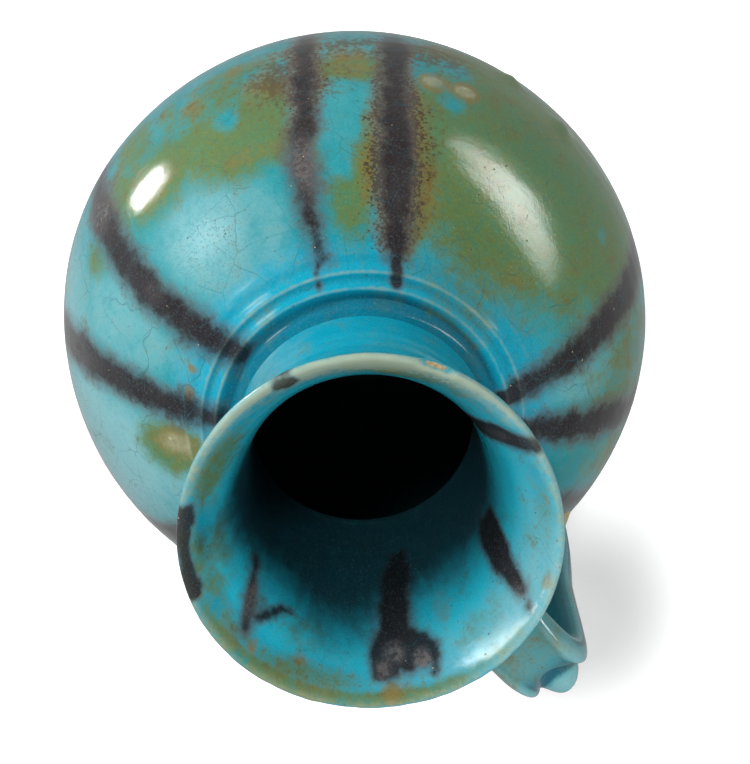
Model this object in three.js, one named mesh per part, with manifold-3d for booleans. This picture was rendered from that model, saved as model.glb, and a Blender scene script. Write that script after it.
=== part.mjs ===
// A globular glazed jug: a round body on a foot ring, a flaring neck and one ribbed strap handle.
// Millimetres, +Z up. The origin is on the jug's axis, on the table under the foot ring.
// The handle stands on the +X side.
import * as THREE from "three";
import { mergeVertices } from "three/addons/utils/BufferGeometryUtils.js";
import Module from "manifold-3d";

const manifold = await Module();
manifold.setup();

// Driving dimensions.
const FACETS = 56; // flats round the axis
const GAP = 0.3; // room between pieces that are fitted to each other
const SLIP = 0.8; // thickness of a layer of joining slip

const BODY_RADIUS = 72; // the globe, outside
const BODY_WALL = 5.5;
const CENTRE_Z = 70; // centre of the globe above the table
const FLOOR_THICKNESS = 7;

const FOOT_HEIGHT = 8; // from the table to the flat underside of the body
const FOOT_OUTER = 37.2;
const FOOT_INNER = 29;
const FOOT_EASE = 1; // rounding of the foot's inner edge, and how far it draws in at its top
// The outside of the foot ring: how far it lies inside FOOT_OUTER, then its height.
const FOOT_OUTSIDE = [
  [1.4, 0],
  [0.3, 0.9],
  [0, 2.8],
  [0.5, 5.2],
];

const COLLAR_OUTER = 43; // where the turned collar round the neck begins
const RIDGE_WIDTH = 1.1;
// Each turned ridge of the collar: its radius and how far it stands up.
const RIDGES = [
  [40.8, 0.35],
  [37.2, 0.9],
  [33.9, 0.9],
];
const CHANNEL_RADIUS = 31; // the hollow between the inner ridge and the neck
const CHANNEL_DEPTH = 1.3;
const CHANNEL_WIDTH = 1.4;
const SEAT_RADIUS = 29.6; // the flat seat that carries the neck
const SEAT_Z = 134.6;

const THROAT_RADIUS = 25.6; // inside of the neck at its base
const NECK_RADIUS = 28.7; // outside of the neck at its base
const RIM_RADIUS = 41.8;
const RIM_Z = 193;
const LIP_THICKNESS = 3.4;
const FLARE_POWER = 3.2; // how late the neck opens out
const SLIP_FILLET = 0.5; // how far the neck's slip spreads at its foot

const STRAP_THICKNESS = 6.4;
const STRAP_WIDTH = 18.4;
const STRAP_SPREAD = 4; // extra width at the lower end
const SPREAD_START = 0.7; // the share of its length at which the strap begins to widen
const EDGE_POWER = 4; // how late the strap's faces round off towards its edges
const EDGE_ROUNDING = 0.45;

// The ribs on the strap's outer face. Places along it are shares of its length, and places across
// it are shares of its half width.
const SIDE_RIB = 1.8; // height of the two outer ribs
const SIDE_RIB_PLACE = 0.8;
const SIDE_RIB_HALF = 0.22;
const SIDE_RIB_START = [0.12, 0.3];
const MIDDLE_RIB = 1.4;
const MIDDLE_RIB_HALF = 0.55;
const MIDDLE_RIB_START = 0.35; // at the bend
const MIDDLE_RIB_RISE = 0.05;
const RIB_END = [0.82, 0.94];
const RIB_SHIFT = -0.06; // how far the ribs lie off the middle of the strap
const SIDE_CREST = 1.3; // how pointed the top of an outer rib is
const MIDDLE_CREST = 0.5; // the middle rib is blunt
const KNOB_HEIGHT = 3; // what the rounded start of the middle rib adds to it
const KNOB_PLACE = 0.4;
const KNOB_LENGTH = 0.06;
const KNOB_ROUNDING = 0.03; // how far the knob's front edge draws back towards its sides
const GROOVE_DEPTH = 1.2; // the hollow pressed in before the knob
const GROOVE_HALF = 0.62;
const GROOVE_LENGTH = 0.026;

// The pads of clay at the strap's ends: where they are, how they lean and how large they are.
const TOP_PAD = { x: 29.8, z: 167.4, tilt: 0.12, thick: 4.6, tall: 9, wide: 11.6 };
const BASE_PAD = { x: 64.5, z: 103, tilt: 0.47, thick: 4.6, tall: 12, wide: 14.5 };

// How finely the curved pieces are divided.
const GLOBE_STEPS = 9;
const COLLAR_STEPS = 16;
const NECK_STEPS = 9;
const LIP_STEPS = 5;
const STRAP_STEPS = 42;
const ROOM_STEPS = 32;
const PAD_STEPS = 28;
const WELD = 1e-3; // points closer than this are one point
// Where the strap's outline has its points, as shares of its half width.
const OUTER_POINTS = [1, 0.96, 0.89, 0.8, 0.7, 0.62, 0.56, 0.5, 0.42, 0.3, 0.15];
const INNER_POINTS = [-1, -0.93, -0.7, -0.3, 0.3, 0.7, 0.93];

const NECK_BASE_Z = SEAT_Z + SLIP;
const LIP_Z = RIM_Z - LIP_THICKNESS / 2;

// The strap's middle line, in the plane of the handle: distance from the axis, then height.
const strapLine = new THREE.CatmullRomCurve3(
  [
    [26, 168],
    [38, 168.3],
    [50, 168],
    [59.5, 166],
    [64.9, 159.4],
    [65.7, 148],
    [64.6, 130],
    [64.6, 114],
    [62, 97],
  ].map(([x, z]) => new THREE.Vector3(x, 0, z)),
);

// A solid of revolution round the jug's axis, from a profile of radius and height pairs.
function turned(profile) {
  const points = profile.map(([r, z]) => new THREE.Vector2(r, z));
  return new THREE.LatheGeometry(points, FACETS).rotateX(Math.PI / 2);
}

// A ring: its profile closes on itself.
function turnedRing(profile) {
  return turned([...profile, profile[0]]);
}

// Points on a globe about the body's centre, from one height to another.
function globeArc(radius, fromZ, toZ) {
  const start = Math.asin((fromZ - CENTRE_Z) / radius);
  const end = Math.asin((toZ - CENTRE_Z) / radius);
  const points = [];
  for (let i = 0; i <= GLOBE_STEPS; i += 1) {
    const angle = start + ((end - start) * i) / GLOBE_STEPS;
    points.push([radius * Math.cos(angle), CENTRE_Z + radius * Math.sin(angle)]);
  }
  return points;
}

// Height of a globe's upper half at a distance from the axis.
function globeTop(radius, r) {
  return CENTRE_Z + Math.sqrt(radius * radius - r * r);
}

function bump(x, width) {
  return Math.exp(-((x / width) ** 2));
}

// Height of the turned collar at a distance from the axis.
function collarZ(r) {
  let z = globeTop(BODY_RADIUS, r);
  for (const [ridge, height] of RIDGES) {
    z += height * bump(r - ridge, RIDGE_WIDTH);
  }
  return z - CHANNEL_DEPTH * bump(r - CHANNEL_RADIUS, CHANNEL_WIDTH);
}

// Outside of the neck at a height, without the rounding of the lip.
function neckRadius(z) {
  const t = Math.max(0, (z - NECK_BASE_Z) / (LIP_Z - NECK_BASE_Z));
  return NECK_RADIUS + (RIM_RADIUS - NECK_RADIUS) * t ** FLARE_POWER;
}

function neckWall(z) {
  const t = (z - NECK_BASE_Z) / (LIP_Z - NECK_BASE_Z);
  const base = NECK_RADIUS - THROAT_RADIUS;
  return base + (LIP_THICKNESS - base) * t;
}

// Heights from the base of the neck to the lip.
function neckHeights() {
  const heights = [];
  for (let i = 0; i <= NECK_STEPS; i += 1) {
    heights.push(NECK_BASE_Z + ((LIP_Z - NECK_BASE_Z) * i) / NECK_STEPS);
  }
  return heights;
}

function solid(geometry) {
  const bare = geometry.clone();
  bare.deleteAttribute("normal");
  bare.deleteAttribute("uv");
  const merged = mergeVertices(bare, WELD);
  const mesh = new manifold.Mesh({
    numProp: 3,
    vertProperties: new Float32Array(merged.attributes.position.array),
    triVerts: new Uint32Array(merged.index.array),
  });
  return new manifold.Manifold(mesh);
}

function geometryOf(body) {
  const mesh = body.getMesh();
  const geometry = new THREE.BufferGeometry();
  geometry.setAttribute("position", new THREE.BufferAttribute(mesh.vertProperties, 3));
  geometry.setIndex(new THREE.BufferAttribute(mesh.triVerts, 1));
  geometry.computeVertexNormals();
  return geometry;
}

// The lower half of the globe: a bowl with a flat underside and a flat floor.
function lowerBody() {
  const seamZ = CENTRE_Z - SLIP / 2;
  return turned([
    [0, FOOT_HEIGHT],
    ...globeArc(BODY_RADIUS, FOOT_HEIGHT, seamZ),
    ...globeArc(BODY_RADIUS - BODY_WALL, seamZ, FOOT_HEIGHT + FLOOR_THICKNESS),
    [0, FOOT_HEIGHT + FLOOR_THICKNESS],
  ]);
}

// The upper half: a dome that ends in the turned collar and the seat of the neck.
function upperBody() {
  const seamZ = CENTRE_Z + SLIP / 2;
  const inside = BODY_RADIUS - BODY_WALL;
  const collar = [];
  for (let i = 1; i < COLLAR_STEPS; i += 1) {
    const r = COLLAR_OUTER + ((SEAT_RADIUS - COLLAR_OUTER) * i) / COLLAR_STEPS;
    collar.push([r, collarZ(r)]);
  }
  return turnedRing([
    ...globeArc(BODY_RADIUS, seamZ, globeTop(BODY_RADIUS, COLLAR_OUTER)),
    ...collar,
    [SEAT_RADIUS, SEAT_Z],
    [THROAT_RADIUS, SEAT_Z],
    ...globeArc(inside, globeTop(inside, THROAT_RADIUS), seamZ),
  ]);
}

// The slip that joins the two halves at the belly.
function bellySlip() {
  const inside = BODY_RADIUS - BODY_WALL;
  const half = SLIP / 2;
  const edge = Math.sqrt(BODY_RADIUS ** 2 - half ** 2);
  return turnedRing([
    [inside, CENTRE_Z - half],
    [edge, CENTRE_Z - half],
    [BODY_RADIUS, CENTRE_Z],
    [edge, CENTRE_Z + half],
    [inside, CENTRE_Z + half],
  ]);
}

function neckSlip() {
  return turnedRing([
    [THROAT_RADIUS, SEAT_Z],
    [NECK_RADIUS + SLIP_FILLET, SEAT_Z],
    [NECK_RADIUS, NECK_BASE_Z],
    [THROAT_RADIUS, NECK_BASE_Z],
  ]);
}

// The neck: almost straight at its base, opening to a rounded lip.
function neck() {
  const outside = neckHeights().map((z) => [neckRadius(z), z]);
  const inside = neckHeights().map((z) => [neckRadius(z) - neckWall(z), z]);
  const half = LIP_THICKNESS / 2;
  const lip = [];
  for (let i = 1; i < LIP_STEPS; i += 1) {
    const angle = (Math.PI * i) / LIP_STEPS;
    lip.push([RIM_RADIUS - half + half * Math.cos(angle), LIP_Z + half * Math.sin(angle)]);
  }
  return turnedRing([...outside, ...lip, ...inside.reverse()]);
}

// The foot ring: a low ring with eased edges and a flat face to stand on.
function footRing() {
  const top = FOOT_HEIGHT - SLIP;
  return turnedRing([
    [FOOT_INNER + FOOT_EASE, 0],
    ...FOOT_OUTSIDE.map(([inset, z]) => [FOOT_OUTER - inset, z]),
    [FOOT_OUTER - FOOT_EASE, top],
    [FOOT_INNER, top],
    [FOOT_INNER, FOOT_EASE],
  ]);
}

function footSlip() {
  return turnedRing([
    [FOOT_INNER, FOOT_HEIGHT - SLIP],
    [FOOT_OUTER - FOOT_EASE, FOOT_HEIGHT - SLIP],
    [FOOT_OUTER - FOOT_EASE + GAP, FOOT_HEIGHT],
    [FOOT_INNER, FOOT_HEIGHT],
  ]);
}

function smooth(from, to, x) {
  const t = Math.min(1, Math.max(0, (x - from) / (to - from)));
  return t * t * (3 - 2 * t);
}

// The round top of a rib, from its middle line out to its half width.
function ribCrest(x, half, power) {
  return Math.abs(x) < half ? Math.cos((Math.PI * x) / 2 / half) ** power : 0;
}

// How far the ribs stand up at a share of the strap's length and a share of its half width.
// The outer two begin before the bend. The middle one begins at it, in a rounded knob behind a
// pressed groove.
function ribHeight(share, place) {
  const across = place - RIB_SHIFT * (1 - place ** 2);
  const end = 1 - smooth(...RIB_END, share);
  const side = SIDE_RIB * smooth(...SIDE_RIB_START, share) * end;
  const start = MIDDLE_RIB_START + KNOB_ROUNDING * (across / MIDDLE_RIB_HALF) ** 2;
  const knob = KNOB_HEIGHT * bump(share - KNOB_PLACE, KNOB_LENGTH);
  const middle = (MIDDLE_RIB + knob) * smooth(start, start + MIDDLE_RIB_RISE, share) * end;
  const groove = GROOVE_DEPTH * bump(share - start, GROOVE_LENGTH);
  return (
    side * ribCrest(Math.abs(across) - SIDE_RIB_PLACE, SIDE_RIB_HALF, SIDE_CREST) +
    middle * ribCrest(across, MIDDLE_RIB_HALF, MIDDLE_CREST) -
    groove * ribCrest(across, GROOVE_HALF, SIDE_CREST)
  );
}

// The strap's outline across its middle line, at a share of its length: sideways, then outwards.
function strapSection(share, grow) {
  const half = (STRAP_WIDTH + STRAP_SPREAD * smooth(SPREAD_START, 1, share)) / 2 + grow;
  const thick = STRAP_THICKNESS / 2 + grow;
  const points = [];
  const otherSide = OUTER_POINTS.slice(1).map((across) => -across);
  for (const across of [...OUTER_POINTS, 0, ...otherSide.reverse()]) {
    const edge = (1 - across ** EDGE_POWER) ** EDGE_ROUNDING;
    points.push([across * half, edge * (thick + ribHeight(share, across))]);
  }
  for (const across of INNER_POINTS) {
    const edge = (1 - across ** EDGE_POWER) ** EDGE_ROUNDING;
    points.push([across * half, -thick * edge]);
  }
  return points;
}

// The strap as a solid: its outlines joined from one end of the middle line to the other.
function strap(grow) {
  const positions = [];
  for (let i = 0; i <= STRAP_STEPS; i += 1) {
    const share = i / STRAP_STEPS;
    const at = strapLine.getPointAt(share);
    const along = strapLine.getTangentAt(share);
    for (const [across, out] of strapSection(share, grow)) {
      positions.push(at.x - along.z * out, across, at.z + along.x * out);
    }
  }
  const count = positions.length / 3 / (STRAP_STEPS + 1);
  const index = [];
  for (let i = 0; i < STRAP_STEPS; i += 1) {
    for (let j = 0; j < count; j += 1) {
      const a = i * count + j;
      const b = i * count + ((j + 1) % count);
      index.push(a, b, a + count);
      index.push(b, b + count, a + count);
    }
  }
  const last = STRAP_STEPS * count;
  for (let j = 1; j < count - 1; j += 1) {
    index.push(0, j + 1, j);
    index.push(last, last + j, last + j + 1);
  }
  const geometry = new THREE.BufferGeometry();
  geometry.setAttribute("position", new THREE.Float32BufferAttribute(positions, 3));
  geometry.setIndex(index);
  return solid(geometry);
}

// The room that the globe takes up, and the room that the neck takes up.
function globeRoom() {
  const ball = new THREE.SphereGeometry(BODY_RADIUS + GAP, FACETS, ROOM_STEPS);
  return solid(ball.rotateX(Math.PI / 2).translate(0, 0, CENTRE_Z));
}

function neckRoom() {
  const outside = neckHeights().map((z) => [neckRadius(z) + GAP, z]);
  return solid(turned([[0, NECK_BASE_Z], ...outside, [0, LIP_Z]]));
}

// A pad of clay pressed round an end of the strap: a flattened ball on the surface that it joins.
function pad({ x, z, tilt, thick, tall, wide }) {
  const ball = new THREE.SphereGeometry(1, PAD_STEPS, PAD_STEPS / 2);
  ball.scale(thick, wide, tall);
  ball.rotateY(-tilt);
  ball.translate(x, 0, z);
  return solid(ball);
}

const glaze = { color: 0x2ea3ab, roughness: 0.16, metalness: 0 };
const bareClay = { color: 0xcdb992, roughness: 0.85, metalness: 0 };

const jug = new THREE.Group();

function add(name, geometry, look) {
  const mesh = new THREE.Mesh(geometry, new THREE.MeshStandardMaterial(look));
  mesh.name = name;
  jug.add(mesh);
}

const globe = globeRoom();
const neckSpace = neckRoom();
const strapSpace = strap(GAP);

const strapBody = strap(0).subtract(globe).subtract(neckSpace);
const topPad = pad(TOP_PAD).subtract(neckSpace).subtract(strapSpace);
const basePad = pad(BASE_PAD).subtract(globe).subtract(strapSpace);

add("foot_ring", footRing(), bareClay);
add("foot_slip", footSlip(), bareClay);
add("lower_body", lowerBody(), glaze);
add("belly_slip", bellySlip(), glaze);
add("upper_body", upperBody(), glaze);
add("neck_slip", neckSlip(), glaze);
add("neck", neck(), glaze);
add("handle_strap", geometryOf(strapBody), glaze);
add("handle_top_pad", geometryOf(topPad), glaze);
add("handle_base_pad", geometryOf(basePad), glaze);

export default jug;
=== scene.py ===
# %% [markdown]
# A turquoise jug, finished in Blender.
# The jug is a round pot of glazed stonepaste: a foot ring, a globe made of two bowls, a turned
# collar, a flaring neck and a ribbed strap handle. Its solids come from a CAD frame, which says
# where every piece is. This lesson makes a finer piece for each solid, paints the glaze on it and
# lights it. One unit is a metre, so sizes that a potter would give in millimetres are multiplied
# by MM.

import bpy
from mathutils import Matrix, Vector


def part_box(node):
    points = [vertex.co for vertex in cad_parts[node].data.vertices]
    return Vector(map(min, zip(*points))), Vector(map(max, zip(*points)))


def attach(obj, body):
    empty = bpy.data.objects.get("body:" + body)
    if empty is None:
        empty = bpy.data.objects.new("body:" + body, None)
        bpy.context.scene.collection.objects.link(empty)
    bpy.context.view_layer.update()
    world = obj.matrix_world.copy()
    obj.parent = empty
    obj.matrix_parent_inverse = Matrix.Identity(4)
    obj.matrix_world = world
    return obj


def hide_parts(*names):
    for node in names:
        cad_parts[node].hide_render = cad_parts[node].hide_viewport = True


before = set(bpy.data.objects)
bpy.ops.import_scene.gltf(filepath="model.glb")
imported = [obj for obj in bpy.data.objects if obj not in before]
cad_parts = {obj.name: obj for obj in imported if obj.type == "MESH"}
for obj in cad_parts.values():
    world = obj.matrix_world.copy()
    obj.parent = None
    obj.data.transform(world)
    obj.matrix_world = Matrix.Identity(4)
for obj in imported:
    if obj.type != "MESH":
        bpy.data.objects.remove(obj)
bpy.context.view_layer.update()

# %% Tools and units
import math

import bmesh
import bpy
import numpy as np
from mathutils import Matrix, Vector

MM = 0.001


def bump(x, width):
    return np.exp(-((x / width) ** 2))


def ease(start, end, x):
    t = np.clip((x - start) / (end - start), 0, 1)
    return t * t * (3 - 2 * t)


# %% [markdown]
# The camera. It looks down on the jug from high up and is rolled, so that the mouth comes to the
# lower edge of the picture. A camera's own axes are the columns of its matrix: X to the right of
# the picture, Y up the picture, and Z back towards the viewer. Writing the columns down is
# simpler than three angles when a view is rolled.

# %% The camera
IMAGE_WIDTH = 750
IMAGE_HEIGHT = 764
FOCAL_PIXELS = 3000
EYE = Vector((-227.1, 170.31, 763.8)) * MM
TO_RIGHT = Vector((0.6517, 0.7577, 0.0346))
TO_BOTTOM = Vector((0.6869, -0.6089, 0.3968))
FORWARD = Vector((0.3217, -0.2348, -0.9173))

camera_data = bpy.data.cameras.new("camera")
camera_data.sensor_width = 36
camera_data.lens = FOCAL_PIXELS / max(IMAGE_WIDTH, IMAGE_HEIGHT) * camera_data.sensor_width
camera = bpy.data.objects.new("camera", camera_data)
columns = Matrix((TO_RIGHT, -TO_BOTTOM, -FORWARD)).transposed().to_4x4()
camera.matrix_world = Matrix.Translation(EYE) @ columns
bpy.context.scene.collection.objects.link(camera)
bpy.context.scene.camera = camera
bpy.context.scene.view_settings.view_transform = "Standard"
print("camera", round(camera_data.lens, 2), "mm lens")

# %% [markdown]
# Shader maths. A material is a tree of nodes, and a sum of two masks is a Math node with two
# links. Drawing dozens of those by hand is slow to read, so this small class wraps a socket and
# gives it Python's own operators. Everything that isn't arithmetic comes from its one method
# `node`, which takes the node's type, its settings and the values or links of its sockets.


# %% Sockets that add and multiply
class Wire:
    def __init__(self, socket):
        self.socket = socket

    def node(self, kind, settings=None, inputs=None, output=0):
        made = self.socket.id_data.nodes.new(kind)
        for key, value in (settings or {}).items():
            setattr(made, key, value)
        by_name = {s.name: s for s in reversed(made.inputs)}
        by_name.update({s.identifier: s for s in made.inputs})
        for key, value in (inputs or {}).items():
            if isinstance(value, Wire):
                self.socket.id_data.links.new(value.socket, by_name[key])
            else:
                by_name[key].default_value = value
        return Wire(made.outputs[output]) if made.outputs else None

    def math(self, operation, a, b):
        return self.node("ShaderNodeMath", {"operation": operation}, {"Value": a, "Value_001": b})

    def __add__(self, other):
        return self.math("ADD", self, other)

    def __radd__(self, other):
        return self.math("ADD", other, self)

    def __sub__(self, other):
        return self.math("SUBTRACT", self, other)

    def __rsub__(self, other):
        return self.math("SUBTRACT", other, self)

    def __mul__(self, other):
        return self.math("MULTIPLY", self, other)

    def __rmul__(self, other):
        return self.math("MULTIPLY", other, self)

    def over(self, low, high):
        return self.node(
            "ShaderNodeMapRange",
            {"interpolation_type": "SMOOTHSTEP"},
            {"Value": self, "From Min": low, "From Max": high},
        )

    def tint(self, below, above):
        return self.node(
            "ShaderNodeMix",
            {"data_type": "RGBA"},
            {"Factor_Float": self, "A_Color": below, "B_Color": above},
            2,
        )

    def blend(self, below, above):
        shaders = {"Fac": self, "Shader": below, "Shader_001": above}
        return self.node("ShaderNodeMixShader", inputs=shaders)


def colour(red, green, blue):
    return (red, green, blue, 1.0)


def new_material(name):
    material = bpy.data.materials.new(name)
    material.use_nodes = True
    tree = material.node_tree
    tree.nodes.clear()
    place = Wire(tree.nodes.new("ShaderNodeTexCoord").outputs["Object"])
    return material, place


def close_material(place, shader):
    place.node("ShaderNodeOutputMaterial", inputs={"Surface": shader})


# %% [markdown]
# The floor. In the picture the jug lies in a white studio, where the floor runs into the
# background and only a soft shadow is left of it. A floor as bright as that would throw a haze
# over the glossy pot, so there are two floors in one: a Light Path node shows the white one, with
# a little glow, only to rays that come straight from the camera. All others meet a grey floor.
# The glow fades out under the jug and round the shadow beside the handle, which stay, and far from
# the jug the floor runs into plain white. The room works in the same way as the floor.

# %% The floor and the background
FLOOR_HALF = 3.0
FLOOR_SEEN = colour(0.9, 0.9, 0.9)
FLOOR_LIFT = 0.02
FLOOR_GLOW = 0.6
FLOOR_BOUNCE = colour(0.4, 0.4, 0.4)
# Each has a middle on the floor and the two distances between which the floor changes.
HANDLE_SHADOW = ((0.134, -0.03, 0), 0.012, 0.046)
SHADOW_BRIDGE = ((0.09, -0.03, 0), 0.014, 0.036)
FOOT_SHADOW = ((0.027, -0.02, 0), 0.03, 0.074)
WHITE_SWEEP = ((0, 0, 0), 0.3, 0.9)
HORIZON = colour(0.18, 0.18, 0.18)
OVERHEAD = colour(0.16, 0.16, 0.16)
ROOM_FADE = (0.05, 0.75)

floor_shape = bmesh.new()
bmesh.ops.create_grid(floor_shape, x_segments=4, y_segments=4, size=FLOOR_HALF)
floor_mesh = bpy.data.meshes.new("floor")
floor_shape.to_mesh(floor_mesh)
floor_shape.free()
floor = bpy.data.objects.new("floor", floor_mesh)
bpy.context.scene.collection.objects.link(floor)


def for_the_camera(start, otherwise, seen):
    return start.node("ShaderNodeLightPath", output="Is Camera Ray").blend(otherwise, seen)


floor_material, place = new_material("white_floor")
matt = place.node("ShaderNodeBsdfDiffuse", inputs={"Color": FLOOR_BOUNCE})
white_floor = place.node("ShaderNodeBsdfDiffuse", inputs={"Color": FLOOR_SEEN})


def lifted(strength):
    glow = place.node("ShaderNodeEmission", inputs={"Strength": strength})
    return place.node("ShaderNodeAddShader", inputs={"Shader": white_floor, "Shader_001": glow})


def far_from(middle, start, end):
    ends = {"Vector": place, "Vector_001": middle}
    distance = place.node("ShaderNodeVectorMath", {"operation": "DISTANCE"}, ends, "Value")
    return distance.over(start, end)


away = far_from(*HANDLE_SHADOW) * far_from(*FOOT_SHADOW) * far_from(*SHADOW_BRIDGE)
close_floor = away.blend(lifted(FLOOR_LIFT), lifted(FLOOR_GLOW))
sweep = place.node("ShaderNodeEmission", inputs={"Strength": 1.0})
seen_floor = far_from(*WHITE_SWEEP).blend(close_floor, sweep)
close_material(place, for_the_camera(place, matt, seen_floor))
floor_mesh.materials.append(floor_material)

world = bpy.data.worlds.new("studio")
world.use_nodes = True
world.node_tree.nodes.clear()
start = Wire(world.node_tree.nodes.new("ShaderNodeTexCoord").outputs["Object"])
up = start.node("ShaderNodeSeparateXYZ", inputs={"Vector": start}, output="Z")
room_tone = up.over(*ROOM_FADE).tint(HORIZON, OVERHEAD)
room = start.node("ShaderNodeBackground", inputs={"Color": room_tone})
backdrop = start.node("ShaderNodeBackground", inputs={"Color": colour(1, 1, 1)})
start.node("ShaderNodeOutputWorld", inputs={"Surface": for_the_camera(start, room, backdrop)})
bpy.context.scene.world = world
print("floor", FLOOR_HALF * 2, "m across, room level", HORIZON[0], "to", OVERHEAD[0])

# %% [markdown]
# The lights. A glossy pot shows its lamps as bright patches, so the lamps have to stand where the
# patches in the picture say: a softbox low on the left, a long strip on the right, and small
# bright cards close to the belly, the lip and the handle. Each one is given by the point of the
# jug that it lights, in millimetres, then the direction from there in degrees, its distance and
# its size. How much a lamp lights and how bright its mirror image looks are set apart: a lamp for
# the light is hidden from reflections, and a card for the mirror image doesn't light the walls.
# A lamp's power follows from the brightness that it gives a white wall facing it, and a card's
# from the glow of its own surface. The spread works like a grid in front of a card: it keeps the
# mirror image to the place that it is for.


# %% Softboxes and cards
def lamp_at(name, lit, azimuth, elevation, distance, width, height, glow, roll=0, spread=180):
    turn, rise = math.radians(azimuth), math.radians(elevation)
    flat = math.cos(rise)
    towards = Vector((math.cos(turn) * flat, math.sin(turn) * flat, math.sin(rise)))
    data = bpy.data.lights.new(name, "AREA")
    data.shape = "ELLIPSE"
    data.size = width * MM
    data.size_y = height * MM
    data.spread = math.radians(spread)
    narrowed = 1 - data.spread / 2 / math.tan(data.spread / 2)
    data.energy = glow * narrowed * math.pi * (math.pi / 4 * width * height * MM * MM)
    lamp = bpy.data.objects.new(name, data)
    facing = towards.to_track_quat("Z", "Y").to_matrix().to_4x4()
    stand = Matrix.Translation((Vector(lit) + towards * distance) * MM)
    lamp.matrix_world = stand @ facing @ Matrix.Rotation(math.radians(roll), 4, "Z")
    lamp.visible_camera = False
    bpy.context.scene.collection.objects.link(lamp)
    print(name, "at", [round(v, 3) for v in lamp.location], "power", round(data.energy, 3))
    return lamp


def softbox(name, lit, azimuth, elevation, distance, size, level):
    glow = level * math.pi * distance**2 / (math.pi / 4 * size**2)
    lamp_at(name, lit, azimuth, elevation, distance, size, size, glow).visible_glossy = False


def mirror_card(name, lit, azimuth, elevation, distance, width, height, glow, roll=0, spread=180):
    card = lamp_at(name, lit, azimuth, elevation, distance, width, height, glow, roll, spread)
    card.visible_diffuse = False


SHOULDER = (0, 0, 110)
softbox("left_softbox", SHOULDER, -160, 8, 2000, 700, 1.0)
softbox("right_softbox", SHOULDER, 68, 10, 1500, 500, 0.38)
softbox("top_softbox", SHOULDER, 162, 52, 1300, 280, 0.56)
softbox("front_softbox", SHOULDER, -25, 60, 1500, 600, 0.26)
softbox("handle_softbox", (60, 0, 165), -25, 48, 200, 70, 0.5)
mirror_card("left_window", (-52, 1, 119), -166, 11, 2000, 600, 420, 5.5)
mirror_card("lip_card", (37, 0, 190), -157, 8, 60, 32, 13, 18)
mirror_card("handle_card", (62, 9, 168), 70, 13, 80, 30, 16, 27, spread=34)
mirror_card("right_strip", (-8, 57, 112), 87.3, -5.8, 70, 115, 27, 18, roll=-21, spread=64)
mirror_card("belly_card", (-66, -7, 97), -155, -31, 125, 38, 27, 34, roll=18)

# %% [markdown]
# The shape of the jug. Every wall of the pot is turned, so each piece starts as an outline of
# distances from the axis and heights, and the spin operator takes it once round. The sizes that
# the frame holds are read from it, and the few that it doesn't hold are named here.

# %% Sizes of the pot
GLOBE_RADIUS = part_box("belly_slip")[1].x / MM
GLOBE_CENTRE = (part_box("belly_slip")[0].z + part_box("belly_slip")[1].z) / 2 / MM
WALL = 5.5
INNER_RADIUS = GLOBE_RADIUS - WALL
FOOT_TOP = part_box("lower_body")[0].z / MM
FLOOR_THICKNESS = 7.0
INNER_FLOOR = FOOT_TOP + FLOOR_THICKNESS
SEAT_SINK = 0.6
SEAT_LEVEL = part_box("upper_body")[1].z / MM - SEAT_SINK
THROAT_RADIUS = 25.6
NECK_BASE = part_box("neck")[0].z / MM
NECK_RADIUS = 28.7
RIM_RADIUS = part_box("neck")[1].x / MM
LIP_HEIGHT = 191.3
FLARE = 3.2
NECK_WALL = 3.1
print("globe", round(GLOBE_RADIUS, 2), "about", round(GLOBE_CENTRE, 2), "rim", round(RIM_RADIUS, 2))


# %% Curves of the walls
def globe_radius_at(height, radius=GLOBE_RADIUS):
    return np.sqrt(np.maximum(radius**2 - (height - GLOBE_CENTRE) ** 2, 0))


def globe_arc(radius, low, high, steps):
    start = math.asin((low - GLOBE_CENTRE) / radius)
    end = math.asin((high - GLOBE_CENTRE) / radius)
    angles = np.linspace(start, end, steps + 1)
    return [(radius * math.cos(a), GLOBE_CENTRE + radius * math.sin(a)) for a in angles]


def neck_radius_at(height):
    t = np.maximum((height - NECK_BASE) / (LIP_HEIGHT - NECK_BASE), 0)
    return NECK_RADIUS + (RIM_RADIUS - NECK_RADIUS) * t**FLARE


def neck_inside_at(height):
    return neck_radius_at(height) - NECK_WALL


# %% [markdown]
# Spinning an outline. A closed outline makes a ring, and one that starts and ends on the axis
# makes a bowl. The spin leaves double vertices on the axis, so they are merged before the
# normals are worked out again. Edges with a sharp turn, such as the flat faces where two pieces
# meet, stay sharp, and everything else is shaded smooth.

# %% The potter's wheel
WELD_DISTANCE = 0.002
SHARP_TURN = 55


def piece_from(shape, name):
    bmesh.ops.remove_doubles(shape, verts=shape.verts, dist=WELD_DISTANCE * MM)
    bmesh.ops.recalc_face_normals(shape, faces=shape.faces)
    for face in shape.faces:
        face.smooth = True
    for edge in shape.edges:
        edge.smooth = edge.calc_face_angle(0) < math.radians(SHARP_TURN)
    mesh = bpy.data.meshes.new(name)
    shape.to_mesh(mesh)
    shape.free()
    piece = bpy.data.objects.new(name, mesh)
    bpy.context.scene.collection.objects.link(piece)
    print(name, len(mesh.vertices), "vertices,", len(mesh.polygons), "faces")
    return piece


def thrown(name, outline, steps, ring=True):
    shape = bmesh.new()
    corners = [shape.verts.new((r * MM, 0, z * MM)) for r, z in outline]
    pairs = list(zip(corners, corners[1:]))
    if ring:
        pairs.append((corners[-1], corners[0]))
    rails = [shape.edges.new(pair) for pair in pairs]
    bmesh.ops.spin(
        shape,
        geom=corners + rails,
        cent=(0, 0, 0),
        axis=(0, 0, 1),
        angle=math.tau,
        steps=steps,
        use_merge=True,
    )
    return piece_from(shape, name)


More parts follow.
